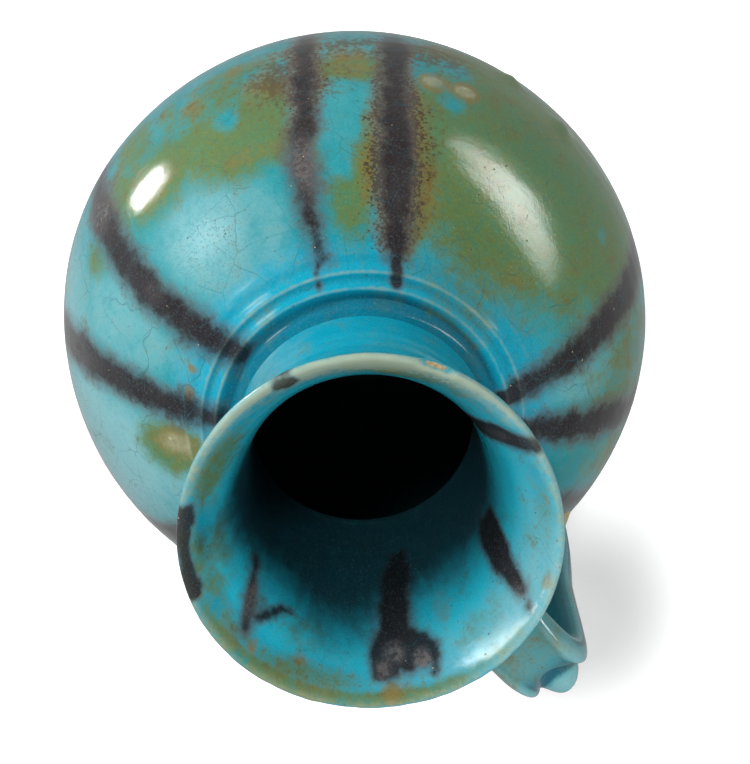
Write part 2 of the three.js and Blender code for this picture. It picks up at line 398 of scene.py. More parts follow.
# %% [markdown]
# Hands leave a pot a little off true. One function says by how much, from the azimuth and the
# height, so that the two halves of the globe stay together at the belly. Slow waves make it
# slightly out of round, and quick ones are the throwing lines. Two small lumps are runs of glaze
# that show on the right of the outline, and two low ones are scars where the pot touched a spur
# in the kiln. At the foot and the collar the pot stays true, so that the pieces fit. `ripple`
# adds up waves round the pot, each with a size, a count and a phase.

# %% Off true
GLAZE_LUMPS = [(107.0, 65.0), (95.0, 75.0)]
SPUR_SCARS = [(117.6, 87.3), (124.2, 87.0)]
SWELLINGS = [(GLAZE_LUMPS, 1.1, 2.6, 4.2), (SPUR_SCARS, 0.35, 2.2, 2.8)]
TRUE_FOOT = (16, 32)
TRUE_COLLAR = (108, 126)


def azimuth_gap(azimuth, middle):
    return (azimuth - middle + 180) % 360 - 180


def ripple(turn, *waves):
    return sum(size * np.sin(count * turn + phase) for size, count, phase in waves)


def hand_wobble(azimuth, height):
    turn = np.radians(azimuth)
    slow = ripple(turn, (0.38, 2, 0.6), (0.2, 3, 2.1 + height / 60), (0.1, 5, height / 25))
    lines = 0.022 * np.sin(height * 0.95 + 0.8 * np.sin(turn)) + 0.012 * np.sin(height * 2.3 + turn)
    free = ease(*TRUE_FOOT, height) * (1 - ease(*TRUE_COLLAR, height))
    lumps = 0
    for marks, rise, width, length in SWELLINGS:
        for middle, level in marks:
            across = np.radians(azimuth_gap(azimuth, middle)) * GLOBE_RADIUS
            lumps = lumps + rise * bump(across, width) * bump(height - level, length)
    return (slow + lines) * free + lumps


def places(piece):
    spots = np.empty(len(piece.data.vertices) * 3, np.float32)
    piece.data.vertices.foreach_get("co", spots)
    spots = spots.reshape(-1, 3).astype(float) / MM
    return spots, np.degrees(np.arctan2(spots[:, 1], spots[:, 0])), np.hypot(spots[:, 0], spots[:, 1])


def move_to(piece, spots):
    piece.data.vertices.foreach_set("co", (spots * MM).astype(np.float32).ravel())
    piece.data.update()


def push_out(piece, amount):
    spots, azimuth, radius = places(piece)
    out = spots[:, :2] / np.maximum(radius, 1e-6)[:, None]
    spots[:, :2] += out * (amount * np.minimum(radius / 20, 1))[:, None]
    move_to(piece, spots)


# %% [markdown]
# The foot. It is a low ring, turned by hand when the clay was leather hard, and it is left bare
# so that the pot didn't stick to the kiln shelf. Its edges are eased, and small flats and nicks
# show where it has stood for centuries.

# %% Foot ring and its slip
FOOT_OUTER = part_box("foot_ring")[1].x / MM
FOOT_INNER = 29.0
FOOT_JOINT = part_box("foot_ring")[1].z / MM
FOOT_STEPS = 192

foot_outline = [
    (FOOT_INNER + 1.4, 0.0),
    (FOOT_OUTER - 2.2, 0.0),
    (FOOT_OUTER - 1.2, 0.25),
    (FOOT_OUTER - 0.5, 0.9),
    (FOOT_OUTER - 0.1, 1.9),
    (FOOT_OUTER, 2.9),
    (FOOT_OUTER - 0.2, 4.2),
    (FOOT_OUTER - 0.6, 5.6),
    (FOOT_OUTER - 1.0, FOOT_JOINT),
    (FOOT_INNER, FOOT_JOINT),
    (FOOT_INNER, 1.6),
    (FOOT_INNER + 0.4, 0.5),
]
foot_ring = thrown("turned_foot_ring", foot_outline, FOOT_STEPS)
spots, azimuth, radius = places(foot_ring)
turn = np.radians(azimuth)
foot_wave = ripple(turn, (0.18, 3, 1), (0.12, 7, 0), (0.05, 23, 2))
push_out(foot_ring, foot_wave * ease(0.2, 2.5, spots[:, 2]) * (1 - ease(5.6, 7.2, spots[:, 2])))

slip_outline = [
    (FOOT_INNER, FOOT_JOINT),
    (FOOT_OUTER - 1.0, FOOT_JOINT),
    (FOOT_OUTER - 0.5, FOOT_JOINT + 0.35),
    (FOOT_OUTER - 0.5, FOOT_TOP - 0.1),
    (FOOT_OUTER + 0.4, FOOT_TOP),
    (FOOT_INNER, FOOT_TOP),
]
foot_slip = thrown("foot_joint_slip", slip_outline, FOOT_STEPS)

# %% [markdown]
# The lower half of the globe. Outside it carries the end of the glaze: on a pot of this kind the
# glaze was poured and stops short of the foot in an uneven line, with a thick roll where it ran.
# The roll is real thickness, so it is modelled. The two halves' skins meet exactly at the
# belly, and the slip between them stays inside the wall, because the glaze covers the joint.

# %% Lower half
GLAZE_LINE = 15.0
GLAZE_ROLL = 0.55
GLAZE_STEP = 0.3
BELLY_LIP = 0.9
SLIP_HALF = 0.3
GLOBE_STEPS = 320


def glaze_line(azimuth):
    return GLAZE_LINE + ripple(np.radians(azimuth), (1.8, 2, 1), (1.3, 5, 2), (0.8, 9, 0))


def belly_joint(side):
    return [
        (GLOBE_RADIUS - BELLY_LIP, GLOBE_CENTRE),
        (GLOBE_RADIUS - BELLY_LIP - 0.4, GLOBE_CENTRE + SLIP_HALF * side),
        (INNER_RADIUS, GLOBE_CENTRE + SLIP_HALF * side),
    ]


lower_outline = [(0.0, FOOT_TOP)]
lower_outline += globe_arc(GLOBE_RADIUS, FOOT_TOP, 25.0, 26)
lower_outline += globe_arc(GLOBE_RADIUS, 25.0, GLOBE_CENTRE - 0.25, 30)[1:]
lower_outline += [(GLOBE_RADIUS, GLOBE_CENTRE)] + belly_joint(-1)
lower_outline += globe_arc(INNER_RADIUS, GLOBE_CENTRE - 1, INNER_FLOOR + 1, 26)
lower_outline += [(34.0, INNER_FLOOR + 0.2), (20.0, INNER_FLOOR), (0.0, INNER_FLOOR)]
lower_body = thrown("lower_bowl", lower_outline, GLOBE_STEPS, ring=False)

spots, azimuth, radius = places(lower_body)
height = spots[:, 2]
outside = np.hypot(radius, height - GLOBE_CENTRE) > GLOBE_RADIUS - 0.05
above = height - glaze_line(azimuth)
roll = GLAZE_ROLL * bump(above - 1.0, 1.3) - GLAZE_STEP * (1 - ease(-0.6, 0.8, above))
roll = roll * ease(FOOT_TOP + 0.4, FOOT_TOP + 2.5, height) * outside
push_out(lower_body, hand_wobble(azimuth, height) + roll)

# %% Belly slip
slip_outline = [
    (INNER_RADIUS - 0.5, GLOBE_CENTRE),
    (INNER_RADIUS, GLOBE_CENTRE + SLIP_HALF),
    (GLOBE_RADIUS - BELLY_LIP - 0.5, GLOBE_CENTRE + SLIP_HALF),
    (GLOBE_RADIUS - BELLY_LIP - 0.2, GLOBE_CENTRE),
    (GLOBE_RADIUS - BELLY_LIP - 0.5, GLOBE_CENTRE - SLIP_HALF),
    (INNER_RADIUS, GLOBE_CENTRE - SLIP_HALF),
]
belly_slip = thrown("belly_joint_slip", slip_outline, GLOBE_STEPS)
spots, azimuth, radius = places(belly_slip)
push_out(belly_slip, hand_wobble(azimuth, spots[:, 2]))

# %% [markdown]
# The upper half. Round the neck the potter turned a collar of three fine ridges and a hollow
# channel. They are only about a millimetre high, but they draw bright lines in the glaze, so the
# outline is sampled finely there. The ridges are bell curves added to the globe.

# %% Upper half
COLLAR_OUTER = 44.0
RIDGES = [(40.8, 0.45, 1.4), (37.2, 0.95, 1.2), (33.9, 0.9, 1.15)]
CHANNEL_RADIUS = 31.0
CHANNEL_DEPTH = 1.3


def collar_height_at(radius):
    height = GLOBE_CENTRE + np.sqrt(GLOBE_RADIUS**2 - radius**2)
    for middle, rise, width in RIDGES:
        height = height + rise * bump(radius - middle, width)
    return height - CHANNEL_DEPTH * bump(radius - CHANNEL_RADIUS, 1.4)


collar_steps = np.arange(COLLAR_OUTER, NECK_RADIUS + 0.9, -0.3)
collar = [(r, float(collar_height_at(r))) for r in collar_steps]
upper_outline = [(GLOBE_RADIUS, GLOBE_CENTRE)]
upper_outline += globe_arc(GLOBE_RADIUS, GLOBE_CENTRE + 0.25, collar[0][1], 46)[:-1] + collar
upper_outline += [(NECK_RADIUS + 0.3, SEAT_LEVEL), (THROAT_RADIUS, SEAT_LEVEL)]
inner_top = GLOBE_CENTRE + math.sqrt(INNER_RADIUS**2 - THROAT_RADIUS**2)
upper_outline += globe_arc(INNER_RADIUS, inner_top, GLOBE_CENTRE + 1, 24)
upper_outline += belly_joint(1)[::-1]
upper_body = thrown("upper_bowl", upper_outline, GLOBE_STEPS)
spots, azimuth, radius = places(upper_body)
push_out(upper_body, hand_wobble(azimuth, spots[:, 2]))

spots, azimuth, radius = places(upper_body)
turn = np.radians(azimuth)
uneven = ripple(turn, (0.12, 2, 1.2), (0.1, 5, 0.4), (0.06, 11, 0))
on_collar = (1 - ease(42, 45, radius)) * ease(30, 32, radius) * (spots[:, 2] > 126)
spots[:, 2] += uneven * on_collar
move_to(upper_body, spots)

# %% [markdown]
# The neck and its slip. The slip is a soft fillet in the corner between the neck and the collar,
# where the glaze also pools. The neck opens like a trumpet and rolls over to a lip that is
# worn and has lost a flake, which is cut into the mesh by pressing the lip down there.

# %% Neck slip
fillet = [(28.4, 140.0), (28.75, 138.0), (29.1, 136.4), (29.7, 135.1), (30.5, 134.1), (31.2, 133.6)]
fillet += [(30.0, 133.0), (27.0, 134.0), (27.0, 139.5)]
neck_slip = thrown("neck_joint_slip", fillet, 256)

# %% Neck
LIP_TOP = 192.95
LIP_CHIP = (120.0, 5.5, 1.3)
ROLL_START = 184.0


def curve_between(start, corner, end, steps):
    shares = np.linspace(0, 1, steps + 1)
    line = []
    for t in shares:
        weights = ((1 - t) ** 2, 2 * t * (1 - t), t * t)
        line.append(tuple(float(np.dot(weights, ends)) for ends in zip(start, corner, end)))
    return line


outer_levels = np.linspace(NECK_BASE - SEAT_SINK, LIP_HEIGHT - 0.3, 52)
inner_levels = np.linspace(ROLL_START - 1, SEAT_LEVEL, 48)
outer_wall = [(float(neck_radius_at(z)), z) for z in outer_levels]
inner_wall = [(float(neck_inside_at(z)), z) for z in inner_levels]
lip_top = (RIM_RADIUS - 0.95, LIP_TOP)
inner_start = (float(neck_inside_at(ROLL_START)), ROLL_START)
lip_outline = curve_between(outer_wall[-1], (RIM_RADIUS + 0.05, LIP_TOP - 0.1), lip_top, 9)[1:]
lip_outline += curve_between(lip_top, (RIM_RADIUS - 2.6, LIP_TOP), inner_start, 18)[1:]
neck = thrown("flaring_neck", outer_wall + lip_outline + inner_wall, 288)

spots, azimuth, radius = places(neck)
turn = np.radians(azimuth)
height = spots[:, 2]
free = ease(150, 185, height)
oval = ripple(turn, (0.35, 2, 2.4), (0.15, 3, 0.5)) * free
lines = 0.02 * np.sin(height * 1.1 + turn) * ease(138, 142, height) * (1 - ease(186, 190, height))
push_out(neck, oval + lines)
spots = places(neck)[0]
chip_middle, chip_half, chip_depth = LIP_CHIP
chip = np.clip(1.3 - np.abs(azimuth_gap(azimuth, chip_middle) / chip_half) ** 3, 0, 1)
nibble = ripple(turn, (0.09, 17, 1), (0.06, 41, 0), (0.04, 67, 2))
sway = ripple(turn, (0.3, 2, 0.3), (0.14, 3, 0))
on_lip = ease(189.5, 192.8, height)
spots[:, 2] += (sway + nibble) * on_lip - chip_depth * chip * on_lip * ease(39.2, 41.2, radius)
move_to(neck, spots)

# %% [markdown]
# The handle. A strap of clay was pulled, given three ribs with a knob where the middle rib begins,
# and bent from the neck to the belly. It starts as a cylinder that is cut into many rings. Every
# vertex then knows two things: how far along the strap it is and where round the section it
# lies. From those its place on the bent strap follows.

# %% The strap's middle line
STRAP_LINE = [
    (28.0, 168.0),
    (38.0, 168.3),
    (50.0, 168.0),
    (59.5, 166.0),
    (64.9, 159.4),
    (65.7, 148.0),
    (64.6, 130.0),
    (64.6, 114.0),
    (62.5, 99.0),
]
STRAP_THICKNESS = 6.4
STRAP_WIDTH = 18.4
STRAP_SPREAD = 4.0


def smooth_line(corners, pieces):
    p = np.array(corners)
    p = np.array([2 * p[0] - p[1], *p, 2 * p[-1] - p[-2]])
    line = []
    for a, b, c, d in zip(p, p[1:], p[2:], p[3:]):
        slope = c - a
        curve = 2 * a - 5 * b + 4 * c - d
        twist = 3 * b - a - 3 * c + d
        for t in np.linspace(0, 1, pieces, endpoint=False):
            line.append(b + t * (slope + t * (curve + t * twist)) / 2)
    line = np.array(line + [p[-2]])
    steps = np.hypot(*np.diff(line, axis=0).T)
    return line, np.concatenate([[0], np.cumsum(steps)]) / steps.sum()


strap_line, strap_share = smooth_line(STRAP_LINE, 24)
print("strap line of", len(strap_line), "points")


def strap_middle(share):
    return [np.interp(share, strap_share, strap_line[:, axis]) for axis in (0, 1)]


# %% The strap's section
SIDE_RIB_PLACE = 0.8
SIDE_RIB_RISE = 1.8
MIDDLE_RIB_HALF = 0.55
MIDDLE_RIB_START = 0.35
MIDDLE_RIB_RISE = 1.4
RIB_SHIFT = -0.06
KNOB_PLACE = 0.4
KNOB_RISE = 3.0
GROOVE_DEPTH = 1.2


def rib_crest(x, half, power=1.3):
    return np.cos(np.pi * np.clip(x / half, -1, 1) / 2).clip(0) ** power


def strap_ribs(share, across):
    across = across - RIB_SHIFT * (1 - across**2)
    end = 1 - ease(0.76, 0.93, share)
    side = SIDE_RIB_RISE * ease(0.12, 0.3, share) * end
    start = MIDDLE_RIB_START + 0.03 * (across / MIDDLE_RIB_HALF) ** 2
    knob = KNOB_RISE * bump(share - KNOB_PLACE, 0.06)
    middle = (MIDDLE_RIB_RISE + knob) * ease(start, start + 0.05, share) * end
    groove = GROOVE_DEPTH * bump(share - start, 0.026)
    ribs = side * rib_crest(np.abs(across) - SIDE_RIB_PLACE, 0.22)
    ribs = ribs + middle * rib_crest(across, MIDDLE_RIB_HALF, 0.5)
    return ribs - groove * rib_crest(across, 0.62)


def strap_place(share, angle):
    across = np.sign(np.cos(angle)) * np.abs(np.cos(angle)) ** 0.8
    edge = (1 - np.abs(across) ** 4) ** 0.45
    half = (STRAP_WIDTH + STRAP_SPREAD * ease(0.7, 1, share)) / 2
    face = STRAP_THICKNESS / 2 * edge
    out = np.where(np.sin(angle) > 0, face + edge * strap_ribs(share, across), -face)
    x, z = strap_middle(share)
    before_x, before_z = strap_middle(np.maximum(share - 0.01, 0))
    after_x, after_z = strap_middle(np.minimum(share + 0.01, 1))
    dx, dz = after_x - before_x, after_z - before_z
    length = np.hypot(dx, dz)
    sway = 0.25 + 0.4 * np.sin(share * 7 + 0.8)
    return np.stack([x - dz / length * out, across * half + sway, z + dx / length * out], 1), across


# %% The strap
STRAP_SIDES = 96
STRAP_RINGS = 210
WALL_BITE = 1.6
MEETS_NECK = 145
MEETS_GLOBE = 132

shape = bmesh.new()
bmesh.ops.create_cone(shape, cap_ends=True, segments=STRAP_SIDES, radius1=1, radius2=1, depth=1)
upright = [e for e in shape.edges if abs(e.verts[0].co.z - e.verts[1].co.z) > 0.5]
bmesh.ops.subdivide_edges(shape, edges=upright, cuts=STRAP_RINGS)
strap_at = np.array([v.co for v in shape.verts])
strap_along = 0.5 - strap_at[:, 2]
strap_spots, strap_across = strap_place(strap_along, np.arctan2(strap_at[:, 1], strap_at[:, 0]))


def stop_in_walls(spots, bite):
    radius = np.hypot(spots[:, 0], spots[:, 1])
    least = neck_radius_at(spots[:, 2]) - bite
    deep = (radius < least) & (spots[:, 2] > MEETS_NECK)
    spots[deep, :2] *= (least / np.maximum(radius, 1e-6))[deep, None]
    centre = np.array([0, 0, GLOBE_CENTRE])
    reach = np.linalg.norm(spots - centre, axis=1)
    buried = (reach < GLOBE_RADIUS - bite) & (spots[:, 2] < MEETS_GLOBE)
    outward = (GLOBE_RADIUS - bite) / reach[buried]
    spots[buried] = centre + (spots[buried] - centre) * outward[:, None]
    return spots


strap_spots = stop_in_walls(strap_spots, WALL_BITE)
for vertex, spot in zip(shape.verts, strap_spots):
    vertex.co = spot * MM
handle_strap = piece_from(shape, "ribbed_strap")

# %% [markdown]
# The pads. Where the strap meets the pot, extra clay was pressed round it and smoothed down with
# a thumb. A pad is a ball flattened onto the wall: its outer half swells to a soft mound that
# runs out to nothing, and its inner half is buried in the wall.

# %% Handle pads
PAD_ROOT = 1.2
PAD_SINK = 0.25


def pressed_pad(name, wall, middle, wide, tall, thick):
    shape = bmesh.new()
    bmesh.ops.create_uvsphere(shape, u_segments=64, v_segments=40, radius=1)
    for vertex in shape.verts:
        x, y, z = vertex.co
        spread = math.hypot(y, z)
        mound = thick * (1 - spread**2) ** 1.5 if spread < 1 else 0
        lift = (mound if x > 0 else -PAD_ROOT * (1 - spread**2)) - PAD_SINK
        vertex.co = Vector(wall(middle + tall * z, wide * y, lift)) * MM
    return piece_from(shape, name)


def on_neck(height, across, lift):
    radius = float(neck_radius_at(height)) + lift
    turn = across / radius
    return radius * math.cos(turn), radius * math.sin(turn), height


def on_globe(height, across, lift):
    rise = (height - GLOBE_CENTRE) / GLOBE_RADIUS
    radius = GLOBE_RADIUS + lift
    turn = across / (GLOBE_RADIUS * math.cos(rise))
    flat = radius * math.cos(rise)
    return flat * math.cos(turn), flat * math.sin(turn), GLOBE_CENTRE + radius * math.sin(rise)


handle_top_pad = pressed_pad("neck_pad", on_neck, middle=167.4, wide=12.5, tall=10.5, thick=4.6)
handle_base_pad = pressed_pad("belly_pad", on_globe, middle=103.0, wide=15.5, tall=14.0, thick=4.6)

# %% [markdown]
# Painting the pot. The potter drew stripes in dark paint under the glaze, and centuries in the
# ground stained it. Each mark is a mask stored with the vertices: 1 inside the mark, 0 outside
# and a soft slope between, so that the material can later break its edge up with noise. A
# stripe is a brush stroke: a route over the wall, whose points are an azimuth in degrees, a height
# and half the stroke's width. A stain is a blob, given by its azimuth and height, half its reach
# in both, and its strength.


# %% Brushes
def surface_points(route, radius_at):
    points = []
    for azimuth, height, half in route:
        turn = math.radians(azimuth)
        radius = float(radius_at(height))
        points.append((np.array([radius * math.cos(turn), radius * math.sin(turn), height]), half))
    return points


def strokes(spots, routes, radius_at, soft):
    amount = np.zeros(len(spots))
    for route in routes:
        points = surface_points(route, radius_at)
        for (a, half_a), (b, half_b) in zip(points, points[1:]):
            along = b - a
            share = np.clip((spots - a) @ along / (along @ along), 0, 1)
            reach = half_a + (half_b - half_a) * share
            distance = np.linalg.norm(spots - a - share[:, None] * along, axis=1)
            amount = np.maximum(amount, np.clip(0.5 + (reach - distance) / soft, 0, 1))
    return amount


def blobs(azimuth, height, marks, soft=1.0):
    amount = np.zeros(len(height))
    for middle, level, half_turn, half_height, strength in marks:
        reach = np.hypot(azimuth_gap(azimuth, middle) / half_turn, (height - level) / half_height)
        amount = np.maximum(amount, strength * np.clip(0.5 + (1 - reach) / soft, 0, 1))
    return amount


def around(azimuth, middle, width):
    return bump(azimuth_gap(azimuth, middle), width)


# %% Where masks are kept
MASKS = {
    "brush": ("stripe", "fringe", "veil", "pool"),
    "weather_and_sheen": ("olive", "ochre", "milk", "bare"),
    "age_and_shade": ("soil", "rough", "cream", "crackle"),
    "tone": ("blue", "dirt", "smoke", "speck"),
}


def paint(piece, **masks):
    count = len(piece.data.vertices)
    for layer, names in MASKS.items():
        values = np.zeros((count, 4), np.float32)
        for channel, name in enumerate(names):
            values[:, channel] = masks.get(name, 0)
        stored = piece.data.color_attributes.new(layer, "FLOAT_COLOR", "POINT")
        stored.data.foreach_set("color", values.ravel())
    print(piece.name, {name: round(float(np.mean(value)), 3) for name, value in masks.items()})


# %% [markdown]
# The stripes on the globe. They run down from the collar in pairs. Three pairs face the viewer,
# and the routes below follow them. The two pairs on the far side are a guess in the same manner.

# %% Stripes
STRIPES = [
    [(46, 134, 3.0), (42, 124, 3.9), (40, 112, 4.1), (38, 98, 3.8), (37, 70, 3.4), (37, 34, 1.6)],
    [(61, 132, 2.8), (62, 122, 3.6), (63.5, 110, 4.2), (65, 92, 4.0), (66, 66, 3.4), (66, 30, 1.4)],
    [(128.6, 129.5, 1.8), (129.5, 124, 3.2), (130.5, 112, 3.8), (132, 96, 3.2), (131.5, 74, 3.4),
     (131, 36, 2.0)],
    [(152.6, 129.5, 1.5), (153, 122, 2.2), (152.5, 112, 3.2), (150, 98, 2.7), (149.5, 88, 2.8),
     (148.5, 58, 2.6), (148, 34, 1.5)],
    [(196, 134, 3.2), (200, 126, 4.0), (201, 116, 4.2), (200, 104, 4.0), (199, 88, 4.4), (198, 60, 3.2),
     (197, 36, 1.4)],
    [(226, 134, 3.0), (226, 125, 3.6), (225, 112, 4.2), (225.5, 98, 4.8), (227, 80, 4.4),
     (228, 50, 3.0), (228, 30, 1.2)],
    [(272, 133, 2.6), (271, 118, 3.6), (270, 96, 4.0), (270, 60, 3.4), (271, 32, 1.4)],
    [(294, 133, 2.6), (296, 116, 3.6), (296, 92, 4.0), (295, 58, 3.2), (296, 38, 1.2)],
    [(340, 132, 2.4), (339, 116, 3.4), (338, 92, 3.8), (339, 60, 3.2), (340, 33, 1.4)],
    [(18, 132, 2.4), (17, 116, 3.2), (16, 92, 3.6), (15, 60, 3.0), (15, 40, 1.2)],
]
STRIPE_ENDS = [
    [(126.6, 132.9, 1.4), (127.0, 131.9, 1.6), (128.2, 129.5, 1.2), (129, 127, 2.2)],
    [(155.5, 133.2, 0.6), (155.0, 131.4, 0.8), (153.4, 129.2, 0.7)],
    [(196, 134.2, 2.0), (194.5, 133.9, 1.6)],
    [(60, 134.2, 2.0), (61, 132, 2.6)],
    [(45, 134.4, 2.2), (46, 132, 2.6)],
]
FRINGED = [
    [(129.5, 127, 3.6), (130.4, 116, 6.8), (131, 102, 6.6), (131.8, 88, 4.2), (131.5, 70, 3.2)],
    [(152, 104, 1.0), (149.5, 92, 4.4), (149, 82, 3.6), (148.5, 62, 3.0)],
    [(297, 96, 3.4), (295, 80, 4.6), (295, 60, 3.0)],
    [(339, 84, 4.2), (339, 66, 3.2)],
]
VEILED = [
    (152.3, 113, 4, 7, 0.7),
    (199.0, 86, 5, 9, 0.5),
    (226, 92, 5, 14, 0.5),
    (129.5, 118, 3, 7, 0.25),
    (200.5, 117, 4, 3, 0.35),
    (270, 84, 5, 12, 0.7),
]

# %% [markdown]
# The stains. Salts in the ground turned parts of the turquoise glaze green, olive and ochre. One
# great field lies right of the upper stripes, a band crosses the upper left, and clear turquoise
# windows are left between them.

# %% Stains on the globe
OLIVE_FIELDS = [
    (102, 108, 27, 20, 1.15),
    (96, 84, 24, 20, 1.1),
    (82, 100, 18, 20, 1.0),
    (72, 96, 12, 22, 0.75),
    (113, 72, 12, 14, 1.0),
    (124, 108, 8, 18, 1.1),
    (64, 104, 6, 20, 0.7),
    (42, 104, 7, 20, 0.6),
    (53, 98, 9, 18, 0.5),
    (30, 92, 10, 22, 0.5),
    (142.5, 122, 5, 6, 0.8),
    (139, 112, 3, 15, 0.9),
    (141, 84, 8, 6, 0.95),
    (164, 104, 12, 7, 1.0),
    (159, 96, 6, 10, 1.0),
    (183, 97, 12, 9, 1.0),
    (173, 97, 9, 8, 0.9),
    (193, 90, 5, 8, 0.7),
    (150, 106, 5, 8, 0.6),
    (187, 78, 5, 12, 0.7),
    (168, 84, 9, 9, 0.6),
    (164, 74, 9, 6, 0.6),
    (241, 126.5, 8, 7, 1.0),
    (178, 78, 3, 10, 0.5),
    (206, 96, 3, 6, 0.55),
    (48, 104, 6, 12, 0.45),
    (250, 60, 16, 22, 0.8),
    (283, 52, 14, 20, 0.8),
    (318, 74, 13, 22, 0.95),
    (305, 40, 24, 10, 0.7),
    (10, 48, 20, 14, 0.7),
    (60, 40, 22, 12, 0.6),
    (110, 42, 26, 16, 0.8),
    (160, 44, 12, 10, 0.5),
]
CLEAR_WINDOWS = [
    (119, 77, 3.5, 4.5, 0.8),
    (120.5, 94, 3.2, 2.2, 0.5),
    (78, 98, 2, 4, 0.5),
    (143, 102, 4.5, 11, 1.0),
    (126.5, 104, 1.2, 5, 0.3),
    (166, 94, 3, 3, 0.6),
]
OCHRE_SPOTS = [
    (95, 125, 9, 3.0, 0.45),
    (122, 118, 4, 8, 0.7),
    (140, 84, 6, 4, 0.7),
    (138, 116, 2, 8, 0.7),
    (163, 107, 7, 3, 0.6),
    (184, 100, 6, 4, 0.7),
    (220, 130, 3.5, 1.0, 0.8),
    (211.4, 129.6, 1.5, 0.8, 1.0),
    (239, 127, 6, 5, 0.9),
    (241, 126.5, 9, 7.5, 0.4),
    (123, 66, 4, 8, 0.7),
    (141, 76, 7, 8, 0.8),
    (157, 84, 5, 10, 0.8),
    (172, 82, 4, 8, 0.5),
    (195, 84, 4, 6, 0.5),
    (105, 112, 18, 11, 0.2),
    (150, 72, 22, 7, 0.6),
    (115, 66, 10, 6, 0.5),
    (320, 86, 8, 10, 0.8),
    (285, 60, 8, 8, 0.7),
]
# A painted glint: a tiny pale spot in the stain on the lower left, painted as bare body.
GLINT_SPOTS = [(237.5, 126, 0.9, 0.7, 0.6)]
PALE_SPOTS = [(239, 127.0, 4.6, 3.6, 0.48)]
SCAR_SPOTS = [(middle, level, 2.3, 2.8, 0.6) for middle, level in SPUR_SCARS]
SCAR_RINGS = [(middle, level, 3.3, 4.4, 1.1) for middle, level in SPUR_SCARS]
# Milky weathering of the glaze, partly painted light: the spots at 166 to 180 degrees lie under the
# mirror image of the left window and are painted sheen, and those at 212 to 246 degrees lighten the
# left side as painted light.
MILK_AND_SHEEN_SPOTS = [
    (180, 118, 16, 12, 0.7),
    (166, 121, 9, 9, 0.55),
    (175, 108, 10, 8, 0.5),
    (212, 112, 12, 18, 0.6),
    (246, 100, 20, 36, 1.0),
    (226, 74, 22, 34, 0.8),
    (54, 118, 7, 12, 0.5),
    (44, 90, 16, 20, 0.4),
]
DULL_SKINS = [(180, 118, 12, 9, 0.4), (98, 112, 26, 12, 0.2)]
SPECKLED_SKINS = [(181, 118, 13, 9, 1.0), (98, 110, 14, 12, 0.5)]
DIRTY_SKINS = [
    (152, 84, 10, 14, 0.9),
    (128, 72, 14, 10, 0.9),
    (142, 70, 16, 8, 0.8),
    (176, 76, 14, 10, 0.3),
    (126, 112, 9, 18, 0.55),
    (165, 84, 16, 12, 0.3),
    (200, 84, 10, 8, 0.5),
    (62, 112, 6, 14, 0.4),
    (290, 70, 20, 20, 0.6),
    (330, 80, 12, 16, 0.6),
]
SMOKY_STRIPES = [
    [(44, 130, 3.5), (40, 112, 5.0), (38, 96, 5.5), (37, 70, 4.5)],
    [(61, 130, 3.0), (63.5, 110, 5.0), (65, 92, 5.5), (66, 66, 4.0)],
    [(153, 124, 2.5), (152, 112, 4.5), (150, 98, 4.0)],
    [(199, 128, 4.5), (200.5, 112, 4.2), (199, 90, 6.0), (198, 70, 5.0)],
    [(226, 128, 3.8), (225.5, 100, 5.0), (227, 80, 6.0)],
    [(270, 110, 4.5), (270, 80, 5.5)],
    [(17, 110, 4.0), (16, 80, 5.0)],
]

# %% Paint on the globe
COLLAR_LEVEL = 125
POOLED_HOLLOWS = [(CHANNEL_RADIUS, 1.0, 1.7), (35.5, 0.5, 0.9), (39.1, 0.3, 1.0)]


def globe_masks(piece):
    spots, azimuth, radius = places(piece)
    height = spots[:, 2]

    def stain(marks, soft=1.0):
        return blobs(azimuth, height, marks, soft)

    def brushed(routes, soft):
        return strokes(spots, routes, globe_radius_at, soft)

    shell = np.hypot(radius, height - GLOBE_CENTRE)
    outside = ease(GLOBE_RADIUS - 3.5, GLOBE_RADIUS - 2.0, shell) * (radius > 20)
    on_collar = height > COLLAR_LEVEL
    above = height - glaze_line(azimuth)
    hollow = sum(depth * bump(radius - middle, width) for middle, depth, width in POOLED_HOLLOWS)
    hollow = hollow * (0.55 + 0.45 * around(azimuth, 105, 50))
    crest = sum(bump(radius - middle, 0.5) * rise for middle, rise, _ in RIDGES) * on_collar
    masks = {
        "stripe": np.maximum(brushed(STRIPES, 8.0), brushed(STRIPE_ENDS, 2.4)),
        "fringe": brushed(FRINGED, 8.0),
        "veil": stain(VEILED),
        "pool": hollow * on_collar + 0.8 * bump(above - 1.2, 1.6),
        "olive": stain(OLIVE_FIELDS) - stain(CLEAR_WINDOWS),
        "ochre": np.maximum(stain(OCHRE_SPOTS), stain(SCAR_RINGS, 0.4)),
        "milk": stain(MILK_AND_SHEEN_SPOTS, 0.9),
        "bare": np.maximum(stain(GLINT_SPOTS, 0.5), 1 - ease(-1.2, 0.6, above)),
        "rough": stain(DULL_SKINS, 0.9),
        "cream": np.maximum(0.55 * crest, stain(SCAR_SPOTS, 0.5)) + stain(PALE_SPOTS),
        "crackle": 1.0,
        "blue": (1 - ease(38, 50, radius)) * (height > 110),
        "dirt": stain(DIRTY_SKINS, 1.2),
        "smoke": brushed(SMOKY_STRIPES, 8.0),
        "speck": stain(SPECKLED_SKINS, 1.2),
    }
    masks = {name: np.clip(value, 0, 1) * outside for name, value in masks.items()}
    # The inside of the globe is painted near black: painted shade.
    masks["soil"] = 1 - outside
    return masks


paint(upper_body, **globe_masks(upper_body))
paint(lower_body, **globe_masks(lower_body))
# The slip inside the belly wall gets the same painted shade.
paint(belly_slip, soil=1.0)
